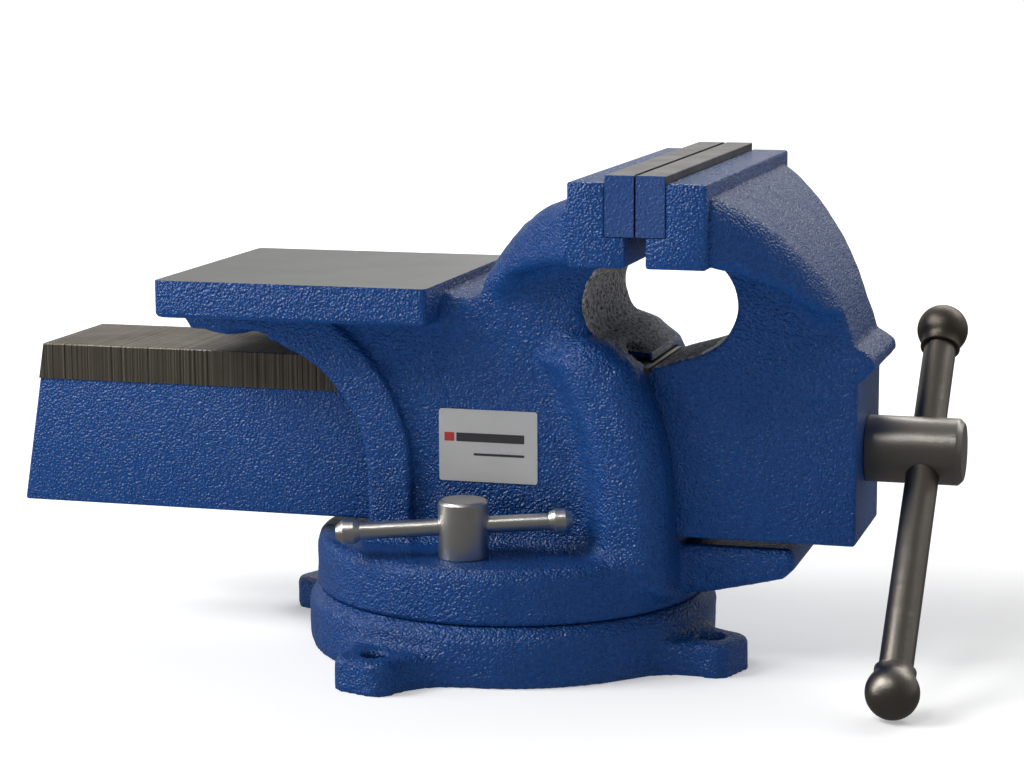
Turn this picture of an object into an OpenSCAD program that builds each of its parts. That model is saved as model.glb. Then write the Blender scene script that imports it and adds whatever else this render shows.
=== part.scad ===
// Bench vise: a cast body that swivels on a bolted base and carries the anvil and the fixed jaw,
// a box-shaped slide with the moving jaw, the screw and handle that drive it, and the two bolts
// that lock the swivel. +X runs along the screw to the handle, +Z is up, and the origin is on
// the swivel axis at the underside of the base. Every measure is in millimetres.

/* [Jaws] */
// Width of both jaws
jaw_w = 150; // [120:1:182]
// Height of the jaws' cast tops above the bench
jaw_top = 178.7; // [174:0.1:190]
// Height of the cast jaw blocks
block_h = 28.9; // [26:0.1:33]
// Thickness of the fixed jaw's block behind its plate
fixed_block_t = 13.1; // [12:0.1:16]
// Thickness of the moving jaw's block behind its plate
moving_block_t = 14; // [13:0.1:17]
// Distance of the jaws' meeting plane ahead of the swivel axis
jaw_line = 67.5; // [62:0.1:74]
// Gap between the plates' faces when the vise is closed
jaw_gap = 0.6; // [0.3:0.1:2]
// Gap between the two cast lips under the plates
lip_gap = 7.2; // [4:0.1:10]
// Thickness of each jaw plate
plate_t = 10.2; // [8:0.1:13]
// Height of each jaw plate
plate_h = 20.7; // [17:0.1:25]
// How far the plates stand above the cast tops
plate_proud = 2.5; // [0:0.1:5]
// Radius of a plate screw's shank
plate_screw_r = 4; // [3:0.1:5]
// Distance of each plate screw from the middle of its plate
plate_screw_y = 47; // [38:0.5:56]

/* [Anvil] */
// Length of the flat anvil along the screw
anvil_l = 103.8; // [85:0.1:125]
// Width of the anvil
anvil_w = 105.8; // [88:0.1:128]
// Thickness of the anvil's slab
anvil_t = 13.7; // [11:0.1:17]
// Height of the anvil's machined top above the bench
anvil_top = 137.5; // [133:0.1:142]
// Distance of the anvil's front edge behind the swivel axis
anvil_front = 13.5; // [10:0.1:20]

/* [Slide] */
// Width of the sliding box
slide_w = 54; // [46:0.1:64.8]
// Height of the slide's underside above the bench
slide_low = 47.4; // [46:0.1:49]
// Height of the sliding box
slide_h = 61; // [58:0.1:64]
// Distance of the slide's top tail end behind the swivel axis
slide_tail = 174.5; // [165:0.5:200]
// How much farther back the tail's lower end reaches
tail_rake = 10; // [0:0.5:16]
// Thickness of the slide's side walls
slide_wall = 8; // [6:0.1:9]
// Thickness of the slide's roof
slide_roof = 12.4; // [9:0.1:14]
// Thickness of the slide's closed front wall
front_wall = 17.9; // [14:0.1:21]
// Distance of the slide's front face ahead of the swivel axis
front_face = 135.9; // [130:0.1:160]
// Height of the machined strip along the slide's upper sides
strip_h = 13.4; // [8:0.1:18]
// How far the machined strip stands out of the cast side
strip_proud = 0.4; // [0.2:0.1:1]
// Clearance between the slide and the body's window
slide_clear = 0.3; // [0.1:0.05:0.6]
// Farthest that the jaws open
opening = 150; // [100:1:155]

/* [Body] */
// Thickness of the body's walls beside the slide
body_wall = 7.2; // [6:0.1:9]
// How far the rear collar stands out of the wall
collar_proud = 3.5; // [2:0.1:5]
// Width of the rear collar
collar_w = 17; // [12:0.1:20]
// Distance of the body's rear face behind the swivel axis
body_rear = 41.4; // [38:0.1:46]
// How far the front pillar stands out of the wall
pillar_proud = 12.5; // [9:0.1:14]
// Width of the front pillar where it meets the turntable
pillar_w = 27.5; // [24:0.5:34]
// Distance of the pillar's front ahead of the swivel axis
pillar_front = 71.5; // [66:0.5:78]
// Reach of the tongue under the slide, ahead of the swivel axis
tongue_reach = 114; // [95:0.5:125]
// Width of the tongue
tongue_w = 50; // [40:0.5:54]

/* [Screw] */
// Radius of the lead screw
screw_r = 10; // [8:0.1:12]
// Height of the screw's axis above the bench
screw_z = 78.35; // [76:0.05:80]
// Distance that the screw advances in one turn
lead = 5; // [3:0.5:8]
// How much larger in radius the screw's head is than the screw
head_step = 2; // [1.5:0.1:3]
// Length of the screw's head in front of the slide
head_l = 34.5; // [30:0.1:42]
// Distance of the screw's tail end behind the swivel axis
screw_tail = 165; // [150:1:195]
// Clearance round the screw in its bores
screw_clear = 0.08; // [0.02:0.01:0.1]
// Length of the main nut along the screw
nut_l = 44; // [36:0.5:52]

/* [Handle] */
// Radius of the handle bar
handle_r = 5.9; // [4.9:0.1:7.1]
// Radius of the balls on the handle's ends
knob_r = 9.3; // [8.4:0.1:11]
// Distance of the handle from the slide's front face
handle_x = 20.8; // [17:0.1:22]
// Lean of the handle from upright
handle_lean = 47.4; // [0:0.1:60]
// Distance from the screw's axis to the upper ball's centre
handle_up = 55.7; // [35:0.1:90]
// Distance from the screw's axis to the lower ball's centre
handle_down = 101.4; // [60:0.1:102]
// Clearance round the handle bar in the screw's head
handle_clear = 0.1; // [0.02:0.01:0.1]

/* [Swivel] */
// how far the swivel axis lies ahead of the lock bolts, towards the handle
swivel_x = 3; // [0:0.5:5]
// Radius of the body's turntable
table_r = 73; // [69:0.5:88]
// Height of the turntable's underside, where it meets the base
table_low = 21.7; // [21.2:0.1:23]
// Height of the turntable's top above the bench
table_top = 42; // [41:0.1:44]
// Radius of the rounding along the turntable's upper rim
rim_round = 4; // [2:0.5:6]
// Radius of the spigot that centres the body in the base
spigot_r = 20; // [18:0.1:24]
// Height of the spigot's lower end above the bench
spigot_low = 12; // [8:0.1:14]
// Clearance round the spigot in the base
spigot_clear = 0.06; // [0.02:0.01:0.1]

/* [Base] */
// How far the base bulges past the turntable
base_bulge = 3.3; // [1.5:0.1:5]
// Number of lugs round the base
lug_n = 4; // [3:1:4]
// Turn of the first lug from the screw's direction
lug_turn = -18.5; // [-45:0.5:0]
// Distance from the base's side to the bolt holes' centres
bolt_reach = 9.7; // [9:0.1:14]
// Radius of each bolt hole
bolt_hole_r = 4.5; // [3.5:0.1:6.5]
// Thickness of each lug
lug_t = 12; // [9:0.1:15]
// Width of each lug across its hole
lug_w = 24; // [20:0.5:30]
// Length of a lug past its hole's centre
lug_end = 12; // [10:0.5:15]
// Radius of the hollow curves beside each lug
lug_fillet = 18; // [10:0.5:24]

/* [Swivel locks] */
// Distance of each lock bolt from the body's side wall
lock_gap = 18.5; // [17.5:0.1:19]
// Radius of a lock bolt's head
lock_head_r = 9; // [7.5:0.1:9.3]
// Height of a lock bolt's head
lock_head_h = 20.8; // [18:0.1:25]
// Radius of a lock bolt's shank
lock_shank_r = 5.5; // [4.5:0.1:6.6]
// Height of the seat under a lock bolt's head, above the turntable
lock_seat = 0; // [0:0.1:1]
// Height of the lock bar above its bolt's seat
lock_bar_h = 11.2; // [8:0.1:13]
// Radius of the lock bar
lock_bar_r = 3.1; // [2.6:0.1:3.7]
// Radius of the knobs on the lock bar
lock_knob_r = 4.5; // [4:0.1:5]
// Length of a lock bar's knob
lock_knob_l = 8.6; // [7:0.1:10]
// Turn of the lock bar from the screw's direction
lock_turn = 16.5; // [0:0.5:17]
// Slope of the lock bar, which hangs a little low on one side
lock_slope = 2.7; // [0:0.1:3]
// Distance from the bolt's axis to the middle of the bar's far knob
lock_far = 41.2; // [34:0.1:44]
// Distance from the bolt's axis to the middle of the bar's near knob
lock_near = 34.8; // [26:0.1:36]
// Clearance of the lock bolt in its hole and of its bar in the head
lock_clear = 0.1; // [0.02:0.01:0.1]

/* [Clamp groove] */
// Length of a clamp nut round the groove
clamp_nut_l = 22; // [18:0.5:26]
// Width of a clamp nut across the groove
clamp_nut_w = 20; // [17:0.5:21]
// Thickness of a clamp nut
clamp_nut_t = 7.6; // [6:0.1:8]
// Thickness of the base under the groove
groove_floor = 5; // [4:0.1:5.2]
// Thickness of the lips that the clamp nuts pull up against
groove_lip = 8.7; // [7:0.1:9]

/* [Label] */
// Width of the plain label on the body's side
label_w = 36.9; // [30:0.1:44]
// Height of the plain label
label_h = 26.4; // [22:0.1:31]
// Thickness of the label
label_t = 0.5; // [0.3:0.1:0.8]
// Distance of the label's middle ahead of the swivel axis
label_x = 3.9; // [0:0.1:8]
// Height of the label's middle above the bench
label_z = 78.8; // [74:0.1:84]

/* [Hidden] */
$fn = 72;

paint = [0.07, 0.19, 0.47];
bare_iron = [0.55, 0.54, 0.5];
turned_steel = [0.62, 0.6, 0.57];
black_steel = [0.2, 0.2, 0.21];

// a joint's hidden seat: what is pushed or screwed home has this much room all round
seat_clear = 0.02;
// what the cutters pass through their work by
through = 1;

slide_top = slide_low + slide_h;
slide_hw = slide_w/2;
cast_hw = slide_hw - strip_proud;
channel_hw = cast_hw - slide_wall + strip_proud;
window_hw = slide_hw + slide_clear;
window_low = slide_low - slide_clear;
window_top = slide_top + slide_clear;
body_hw = window_hw + body_wall;

block_low = jaw_top - block_h;
plate_top = jaw_top + plate_proud;
plate_low = plate_top - plate_h;
fixed_face = jaw_line - jaw_gap/2;
moving_face = jaw_line + jaw_gap/2;
fixed_seat = fixed_face - plate_t;
moving_seat = moving_face + plate_t;
fixed_back = fixed_seat - fixed_block_t;
moving_back = moving_seat + moving_block_t;
plate_screw_z = (plate_top + plate_low)/2;

lock_y = body_hw + lock_gap;
head_r = screw_r + head_step;
base_r = table_r + base_bulge;
bolt_circle_r = base_r + bolt_reach;
anvil_low = anvil_top - anvil_t;
anvil_back = anvil_front + anvil_l;
head_x = front_face + handle_x;
lock_seat_z = table_top + lock_seat;
lock_bar_z = lock_seat_z + lock_bar_h;
groove_top = table_low - groove_lip;
groove_in = lock_y - clamp_nut_w/2 - 1;
groove_out = sqrt(pow(lock_y + clamp_nut_w/2, 2) + pow(clamp_nut_l/2, 2)) + 0.8;
foot_r = base_r - 2.3;
lug_tip = bolt_circle_r + lug_end;
nut_bolt_r = 6;
nut_bolt_head_h = 7.5;
nut_washer_t = 2;
nut_seat_z = table_low + 3;
nut_top = slide_top - slide_roof - 2;
nut_thread_top = screw_z - screw_r - 7;

// --- small helpers -----------------------------------------------------------------

// points along a round stretch of an outline
function bow(centre, r, from, to, n = 10) =
    [for (i = [0:n]) let(a = from + (to - from)*i/n) centre + r*[cos(a), sin(a)]];

// a plate cut to a side-view outline, the same distance to both sides of the screw
module side_plate(outline, half_w)
    rotate([90, 0, 0]) linear_extrude(height = 2*half_w, center = true) polygon(outline);

// a box given by its low and high corners
module span(low, high)
    translate(low) cube(high - low);

// a straight rod along X from one end to the other
module rod_x(r, x0, x1)
    translate([x0, 0, 0]) rotate([0, 90, 0]) cylinder(r = r, h = x1 - x0);

// everything above the turntable stands back from the swivel axis
module set_back() translate([-swivel_x, 0, 0]) children();

// what stands on the lock bolt of one side, the left (-1) or its mirror image on the right (1)
module at_lock(side)
    if (side > 0) mirror([0, 1, 0]) translate([0, -lock_y, 0]) children();
    else translate([0, -lock_y, 0]) children();

// what lies along the lock bar, its own X along the bar
module along_lock_bar(side)
    at_lock(side) translate([0, 0, lock_bar_z]) rotate([0, 0, lock_turn])
        rotate([0, -lock_slope, 0]) children();

// what lies along the handle, its own Z along the bar towards the upper ball
module along_handle()
    translate([head_x, 0, screw_z]) rotate([-handle_lean, 0, 0]) children();

// --- the base ----------------------------------------------------------------------

// half of a lug's outline, from inside the base out to the lug's tip
function lug_side(side_y, hollow, corner_r) = concat(
    [[0, 0], hollow*(foot_r - 6)/norm(hollow)],
    bow(hollow, lug_fillet, 181 + atan2(hollow.y, hollow.x), 270, 8),
    bow([lug_tip - corner_r, side_y - corner_r], corner_r, 90, 0, 6)
);

module lug() {
    side_y = lug_w/2;
    hollow = [sqrt(pow(foot_r + lug_fillet, 2) - pow(side_y + lug_fillet, 2)), side_y + lug_fillet];
    half = lug_side(side_y, hollow, 7);
    linear_extrude(height = lug_t)
        polygon(concat(half, [for (i = [len(half) - 1:-1:1]) [half[i].x, -half[i].y]]));
}

module swivel_base()
    color(paint) difference() {
        union() {
            rotate_extrude() polygon([
                [0, 0], [foot_r, 0], [base_r - 0.7, 3], [base_r, table_low - 6],
                [base_r - 0.9, table_low - 2.4], [table_r - 0.6, table_low - 0.5],
                [table_r - 1.2, table_low], [0, table_low]
            ]);
            for (i = [0:lug_n - 1]) rotate([0, 0, lug_turn + i*360/lug_n]) lug();
        }
        // the bore for the body's spigot
        translate([0, 0, -through]) cylinder(r = spigot_r + spigot_clear, h = table_low + 2*through);
        // the ring groove for the clamp nuts, and the slot above it for their bolts
        rotate_extrude() {
            translate([groove_in, groove_floor]) square([groove_out - groove_in, groove_top - groove_floor]);
            translate([lock_y - lock_shank_r - 0.6, groove_floor])
                square([2*lock_shank_r + 1.2, table_low]);
        }
        // two windows in the floor, where the clamp nuts go in
        for (a = [45, 225]) rotate([0, 0, lug_turn + a]) translate([lock_y, 0, -through])
            cylinder(r = clamp_nut_l/2 + 4, h = groove_floor + 2*through);
        for (i = [0:lug_n - 1]) rotate([0, 0, lug_turn + i*360/lug_n])
            translate([bolt_circle_r, 0, -through]) cylinder(r = bolt_hole_r, h = lug_t + 2*through);
    }

// --- the body ----------------------------------------------------------------------

// the rear face bends back under the anvil round this centre
rear_c = [-body_rear - 50, 66];
// the pillar bends back under the fixed jaw round this centre
pillar_c = [pillar_front - 120, 56.6];
pillar_r = 120;
// the outer bow of the fixed jaw's arm
fixed_bow_c = [fixed_back + 21.6, jaw_top - 74.7];
fixed_bow_r = 72.2;
// the inner bow of the throat on the fixed side
throat_c = [fixed_seat - 1.6, block_low - 18.1];
throat_r = 16.5;

module turntable()
    rotate_extrude() {
        square([table_r - rim_round, table_top]);
        difference() {
            square([table_r, table_top - rim_round]);
            translate([table_r - 0.8, 0]) square([through, table_low + 0.6]);
        }
        translate([table_r - rim_round, table_top - rim_round]) intersection() {
            circle(r = rim_round);
            square(rim_round);
        }
    }

// the middle of the body from the turntable up to the anvil and the fixed jaw
module body_web()
    side_plate(concat(
        [[-body_rear, table_top - 8]],
        bow(rear_c, 50, 0, 62),
        [[-anvil_back + 37, anvil_low - 8.8], [-anvil_back + 26, anvil_low - 5.3],
         [-anvil_back + 13, anvil_low - 7.3], [-anvil_back + 5, anvil_low - 5.8],
         [-anvil_back + 1.3, anvil_low + 1], [-anvil_front - 6, anvil_low + 8]],
        bow([-anvil_front + 8.5, anvil_top + 4], 9.3, 230, 312, 6),
        bow(fixed_bow_c, fixed_bow_r, 152, 108, 12),
        [[fixed_seat, jaw_top - 8], [fixed_seat, block_low + 1]],
        bow(throat_c, throat_r, 118, 236, 12),
        [[fixed_seat - 5, window_top + 4.6], [fixed_seat + 0.4, window_top - 1.7]],
        bow(pillar_c, pillar_r, 26, 0),
        [[pillar_front, table_top - 8]]
    ), body_hw);

// the proud collar round the slide at the rear
module rear_collar()
    side_plate(concat(
        [[-body_rear, table_top - 8]],
        bow(rear_c, 50, 0, 62),
        [[-anvil_back + 37, anvil_low - 8.8], [-anvil_back + 37, anvil_low + 1],
         [rear_c.x + 37, anvil_low + 1]],
        bow(rear_c, 50 + collar_w, 56, 0),
        [[-body_rear + collar_w, table_top - 8]]
    ), body_hw + collar_proud);

// the round-fronted pillar at each side in front, in two steps
module front_pillar() {
    inner_c = [pillar_front - pillar_w - 101.7, 55.9];
    for (step = [[0, 6], [7, pillar_proud]]) let(inset = step[0])
        side_plate(concat(
            [[pillar_front - pillar_w + inset, table_top - 8]],
            bow(inner_c, 101.7 + inset, 0, 33 - inset/2),
            [[fixed_back - 12 + inset, anvil_low - 6], [fixed_back - 3, anvil_low - 3 - inset/3],
             [fixed_back + 9 - inset, anvil_low - 6]],
            bow(pillar_c, pillar_r - inset, 27 - inset/4, 0),
            [[pillar_front - inset, table_top - 8]]
        ), body_hw + step[1]);
}

// the fixed jaw's arm, which spreads from the body's width to the jaw's width
module fixed_arm()
    intersection() {
        side_plate(concat(
            bow(fixed_bow_c, fixed_bow_r, 155, 108, 12),
            [[fixed_seat - 1, jaw_top - 8], [fixed_seat - 1, block_low + 0.2]],
            bow([fixed_back + 9.7, block_low - 82.2], 82.8, 97, 124, 8)
        ), jaw_w/2 - 2);
        linear_extrude(height = 2*jaw_top) polygon([
            [fixed_seat, jaw_w/2 - 2], [fixed_back - 2, jaw_w/2 - 3],
            [fixed_back - 36.9, body_hw + 1.5], [fixed_back - 60, 0],
            [fixed_back - 36.9, -body_hw - 1.5], [fixed_back - 2, 3 - jaw_w/2],
            [fixed_seat, 2 - jaw_w/2]
        ]);
    }

module fixed_block() {
    span([fixed_back, -jaw_w/2, block_low], [fixed_seat, jaw_w/2, jaw_top]);
    span([fixed_back, -jaw_w/2, block_low], [jaw_line - lip_gap/2, jaw_w/2, plate_low]);
}

// the tongue that reaches forward under the slide
module tongue() {
    top = slide_low - 2.9;
    side_plate([
        [table_r - 15, table_low + 3], [table_r + 12, table_low + 5.2],
        [tongue_reach - 14, top - 13.5], [tongue_reach - 4, top - 11], [tongue_reach, top - 7],
        [tongue_reach, top - 2.5], [tongue_reach - 2, top], [table_r - 15, top]
    ], tongue_w/2);
}

module vise_body()
    color(paint) difference() {
        union() {
            difference() {
                turntable();
                translate([0, 0, -through]) cylinder(r = table_r + through, h = table_low + through);
            }
            translate([0, 0, spigot_low]) cylinder(r = spigot_r, h = table_top - spigot_low);
            set_back() {
                body_web();
                rear_collar();
                front_pillar();
                fixed_arm();
                fixed_block();
                tongue();
                span([-anvil_back, -anvil_w/2, anvil_low], [-anvil_front, anvil_w/2, anvil_top]);
            }
        }
        set_back() {
            // the window that the slide runs in
            span([-anvil_back - 20, -window_hw, window_low], [tongue_reach + 20, window_hw, window_top]);
            // the hole up through the floor for the nut's bolt, with its seat
            translate([0, 0, spigot_low - through]) cylinder(r = 13, h = nut_seat_z - spigot_low + through);
            cylinder(r = nut_bolt_r + seat_clear, h = window_low + through);
            // the lock bolts' holes, and the flat seats under their heads
            for (side = [-1, 1]) at_lock(side) {
                cylinder(r = lock_shank_r + lock_clear, h = table_top + through);
                translate([0, 0, lock_seat_z]) cylinder(r = lock_head_r + 1.2, h = 30);
            }
            // the plate screws' threaded holes
            for (s = [-1, 1]) translate([fixed_seat + through, s*plate_screw_y, plate_screw_z])
                rotate([0, -90, 0]) cylinder(r = plate_screw_r + seat_clear, h = 11.5 + through);
        }
    }

// --- the moving jaw ----------------------------------------------------------------

// the outer bow of the moving jaw's arm
moving_bow_c = [moving_back - 41.8, jaw_top - 80.9];
moving_bow_r = 87.1;

module moving_web()
    side_plate(concat(
        [[front_face, slide_top - 10], [front_face, slide_top - 2.3],
         [front_face + 2, slide_top - 1.6], [front_face + 6, slide_top + 3],
         [front_face + 5.6, slide_top + 6], [front_face + 2.6, slide_top + 8.4]],
        bow(moving_bow_c, moving_bow_r, 14, 61, 14),
        [[moving_seat, jaw_top - 8], [moving_seat, block_low + 0.5],
         [moving_back - 5.1, block_low - 0.2]],
        bow([moving_back - 17.5, block_low - 18.3], 18.5, 52, -70, 16),
        [[moving_seat - 10, slide_top - 0.5], [moving_seat - 10, slide_top - 10]]
    ), slide_hw);

// the arm's two flanks, which spread from the slide's width to the jaw's width
module moving_arm()
    intersection() {
        side_plate(concat(
            bow(moving_bow_c, moving_bow_r, 22, 61, 12),
            [[moving_seat + 1, jaw_top - 8], [moving_seat + 1, block_low + 0.2]],
            bow([moving_back - 21.5, block_low - 69.8], 73.2, 73, 44, 8)
        ), jaw_w/2 - 2);
        linear_extrude(height = 2*jaw_top) polygon([
            [moving_seat, jaw_w/2 - 2], [moving_back + 1, jaw_w/2 - 4],
            [moving_back + 17, jaw_w/2 - 18], [moving_back + 29, slide_hw + 17],
            [moving_back + 38, slide_hw + 5], [moving_back + 60, 0],
            [moving_back + 38, -slide_hw - 5], [moving_back + 29, -slide_hw - 17],
            [moving_back + 17, 18 - jaw_w/2], [moving_back + 1, 4 - jaw_w/2],
            [moving_seat, 2 - jaw_w/2]
        ]);
    }

module moving_block() {
    span([moving_seat, -jaw_w/2, block_low], [moving_back, jaw_w/2, jaw_top]);
    span([jaw_line + lip_gap/2, -jaw_w/2, block_low], [moving_back, jaw_w/2, plate_low]);
}

// the box that slides through the body, open below and behind
module slide_box() {
    tail = slide_tail;
    side_plate([[-tail - tail_rake, slide_low], [front_face, slide_low], [front_face, slide_top],
                [-tail, slide_top]], cast_hw);
    strip_tail = tail + tail_rake*strip_h/slide_h;
    side_plate([[-strip_tail, slide_top - strip_h], [moving_back, slide_top - strip_h],
                [moving_back, slide_top], [-tail, slide_top]], slide_hw);
}

module moving_jaw()
    color(paint) difference() {
        union() {
            slide_box();
            moving_web();
            moving_arm();
            moving_block();
        }
        // the channel inside the slide
        span([-slide_tail - tail_rake - through, -channel_hw, slide_low - through],
             [front_face - front_wall, channel_hw, slide_top - slide_roof]);
        translate([0, 0, screw_z])
            rod_x(screw_r + screw_clear, front_face - front_wall - through, front_face + through);
        for (s = [-1, 1]) translate([moving_seat - through, s*plate_screw_y, plate_screw_z])
            rotate([0, 90, 0]) cylinder(r = plate_screw_r + seat_clear, h = 11.5 + through);
    }

// --- the jaw plates and their screws -----------------------------------------------

screw_head_r = 1.6*plate_screw_r;
screw_head_h = 1.5*plate_screw_r;

module jaw_plate(seat, towards)
    color(bare_iron) difference() {
        translate([towards > 0 ? seat : seat - plate_t, -jaw_w/2, plate_low])
            cube([plate_t, jaw_w, plate_h]);
        for (s = [-1, 1]) translate([seat, s*plate_screw_y, plate_screw_z]) rotate([0, towards*90, 0]) {
            translate([0, 0, -through]) cylinder(r = plate_screw_r + 0.2, h = plate_t + 2*through);
            translate([0, 0, plate_t - screw_head_h - 0.8])
                cylinder(r = screw_head_r + 0.3, h = screw_head_h + 2);
        }
    }

module plate_screws(seat, towards)
    color(black_steel) for (s = [-1, 1])
        translate([seat, s*plate_screw_y, plate_screw_z]) rotate([0, towards*90, 0]) difference() {
            union() {
                translate([0, 0, -10.5]) cylinder(r = plate_screw_r, h = plate_t + 8);
                translate([0, 0, plate_t - screw_head_h - 0.8])
                    cylinder(r = screw_head_r, h = screw_head_h);
            }
            translate([0, 0, plate_t - 4]) cylinder(r = 0.8*plate_screw_r, h = 6, $fn = 6);
        }

module jaw_plate_fixed() jaw_plate(fixed_seat, 1);
module jaw_plate_moving() jaw_plate(moving_seat, -1);
module jaw_plate_screws_fixed() plate_screws(fixed_seat, 1);
module jaw_plate_screws_moving() plate_screws(moving_seat, -1);

// --- the screw, and what keeps it in the moving jaw --------------------------------

wall_back = front_face - front_wall;
spring_l = 27.6;
spring_washer_t = 2;
washer_x = wall_back - spring_l - spring_washer_t;
pin_r = 1.6;
pin_x = washer_x - pin_r;

module lead_screw()
    color(turned_steel) difference() {
        union() {
            translate([0, 0, screw_z]) rod_x(screw_r, -screw_tail, front_face + 2);
            translate([front_face, 0, screw_z]) rotate([0, 90, 0]) rotate_extrude() polygon([
                [0, 0], [head_r - 0.5, 0], [head_r, 0.5], [head_r, head_l - 2],
                [head_r - 0.6, head_l - 0.7], [head_r - 2, head_l], [0, head_l]
            ]);
        }
        along_handle() cylinder(r = handle_r + handle_clear, h = 4*head_r, center = true);
        translate([pin_x, 0, screw_z]) cylinder(r = pin_r + seat_clear, h = 4*screw_r, center = true);
    }

// the spring's envelope: a sleeve with a ripple for each coil
module return_spring() {
    coils = 7;
    pitch = (spring_l - 0.2)/coils;
    bore_r = screw_r + 0.9;
    color(black_steel) translate([wall_back - spring_l + 0.1, 0, screw_z]) rotate([0, 90, 0])
        rotate_extrude() polygon(concat(
            [[bore_r, 0]],
            [for (i = [0:coils - 1]) each [[bore_r + 1.8, i*pitch], [bore_r + 2.6, (i + 0.3)*pitch],
                [bore_r + 2.6, (i + 0.7)*pitch], [bore_r + 1.8, (i + 0.98)*pitch]]],
            [[bore_r, coils*pitch]]
        ));
}

module spring_washer()
    color(turned_steel) translate([washer_x, 0, screw_z]) rotate([0, 90, 0]) difference() {
        cylinder(r = screw_r + 4.5, h = spring_washer_t);
        translate([0, 0, -through]) cylinder(r = screw_r + screw_clear, h = spring_washer_t + 2*through);
    }

module split_pin()
    color(turned_steel) translate([pin_x, 0, screw_z - screw_r - 3]) {
        cylinder(r = pin_r, h = 2*screw_r + 6);
        translate([0, 0, 2*screw_r + 6]) rotate([0, 90, 0])
            cylinder(r = 2.4, h = 2*pin_r, center = true);
    }

// --- the handle --------------------------------------------------------------------

socket_depth = 2.5;

module handle_bar()
    color(turned_steel) along_handle()
        translate([0, 0, -handle_down + socket_depth])
            cylinder(r = handle_r, h = handle_up + handle_down - 2*socket_depth);

// a ball with a short collar and a blind socket for the bar, its own -Z towards the bar
module handle_knob()
    color(turned_steel) difference() {
        union() {
            intersection() {
                sphere(r = knob_r);
                translate([0, 0, -knob_r]) cylinder(r = knob_r + 1, h = 2*knob_r - 0.5);
            }
            translate([0, 0, -knob_r + 0.3]) cylinder(r = handle_r + 1.3, h = knob_r);
        }
        translate([0, 0, -2*knob_r]) cylinder(r = handle_r + seat_clear, h = 2*knob_r - socket_depth);
    }

module handle_knob_upper() along_handle() translate([0, 0, handle_up]) handle_knob();
module handle_knob_lower() along_handle() translate([0, 0, -handle_down]) rotate([180, 0, 0]) handle_knob();

// --- the nut and its bolt ----------------------------------------------------------

module main_nut()
    color(bare_iron) difference() {
        span([-nut_l/2, -channel_hw + 2, window_low], [nut_l/2, channel_hw - 2, nut_top]);
        translate([0, 0, screw_z]) rod_x(screw_r + screw_clear, -nut_l, nut_l);
        translate([0, 0, window_low - through])
            cylinder(r = nut_bolt_r + seat_clear, h = nut_thread_top - window_low + through);
    }

module nut_bolt()
    color(black_steel) {
        translate([0, 0, nut_seat_z - nut_washer_t - nut_bolt_head_h])
            cylinder(r = 11, h = nut_bolt_head_h, $fn = 6);
        translate([0, 0, nut_seat_z - nut_washer_t - 1])
            cylinder(r = nut_bolt_r, h = nut_thread_top - nut_seat_z + nut_washer_t - 1);
    }

module nut_washer()
    color(turned_steel) translate([0, 0, nut_seat_z - nut_washer_t]) difference() {
        cylinder(r = 12.4, h = nut_washer_t);
        translate([0, 0, -through]) cylinder(r = nut_bolt_r + 0.3, h = nut_washer_t + 2*through);
    }

// --- the swivel locks --------------------------------------------------------------

clamp_nut_top = groove_top - 0.1;

module lock_bolt(side)
    color(turned_steel) difference() {
        at_lock(side) {
            translate([0, 0, groove_floor + 1])
                cylinder(r = lock_shank_r, h = lock_seat_z - groove_floor);
            translate([0, 0, lock_seat_z]) rotate_extrude() polygon([
                [0, 0], [lock_head_r - 0.4, 0], [lock_head_r, 0.4], [lock_head_r, lock_head_h - 1],
                [lock_head_r - 1, lock_head_h], [0, lock_head_h]
            ]);
        }
        along_lock_bar(side) rotate([0, 90, 0])
            cylinder(r = lock_bar_r + lock_clear, h = 4*lock_head_r, center = true);
    }

module lock_bar(side)
    color(turned_steel) along_lock_bar(side) rod_x(lock_bar_r, -lock_far, lock_near);

// the turned knobs on a lock bar's ends: a short barrel between two cones
module lock_bar_knobs(side) {
    half = lock_knob_l/2;
    neck_r = lock_bar_r + 0.4;
    color(turned_steel) along_lock_bar(side)
        for (end = [-lock_far, lock_near]) translate([end, 0, 0]) rotate([0, end > 0 ? 90 : -90, 0])
            difference() {
                rotate_extrude() polygon([
                    [0, -half], [neck_r, -half], [lock_knob_r, -half + 2], [lock_knob_r, half - 2.4],
                    [lock_knob_r - 1.8, half], [0, half]
                ]);
                translate([0, 0, -half - through]) cylinder(r = lock_bar_r + seat_clear, h = half + through);
            }
}

module clamp_nut(side)
    color(black_steel) at_lock(side) difference() {
        translate([-clamp_nut_l/2, -clamp_nut_w/2, clamp_nut_top - clamp_nut_t])
            cube([clamp_nut_l, clamp_nut_w, clamp_nut_t]);
        cylinder(r = lock_shank_r + seat_clear, h = table_low);
    }

module lock_bolt_left() lock_bolt(-1);
module lock_bolt_right() lock_bolt(1);
module lock_bar_left() lock_bar(-1);
module lock_bar_right() lock_bar(1);
module lock_bar_knobs_left() lock_bar_knobs(-1);
module lock_bar_knobs_right() lock_bar_knobs(1);
module clamp_nut_left() clamp_nut(-1);
module clamp_nut_right() clamp_nut(1);

// --- the label ---------------------------------------------------------------------

module nameplate()
    color("silver") translate([label_x, -body_hw, label_z]) rotate([90, 0, 0])
        linear_extrude(height = label_t) {
            square([label_w, label_h - 2], center = true);
            square([label_w - 2, label_h], center = true);
            for (sx = [-1, 1], sy = [-1, 1]) translate([sx*(label_w/2 - 1), sy*(label_h/2 - 1)])
                circle(r = 1, $fn = 24);
        }

// --- what is built -----------------------------------------------------------------

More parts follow.
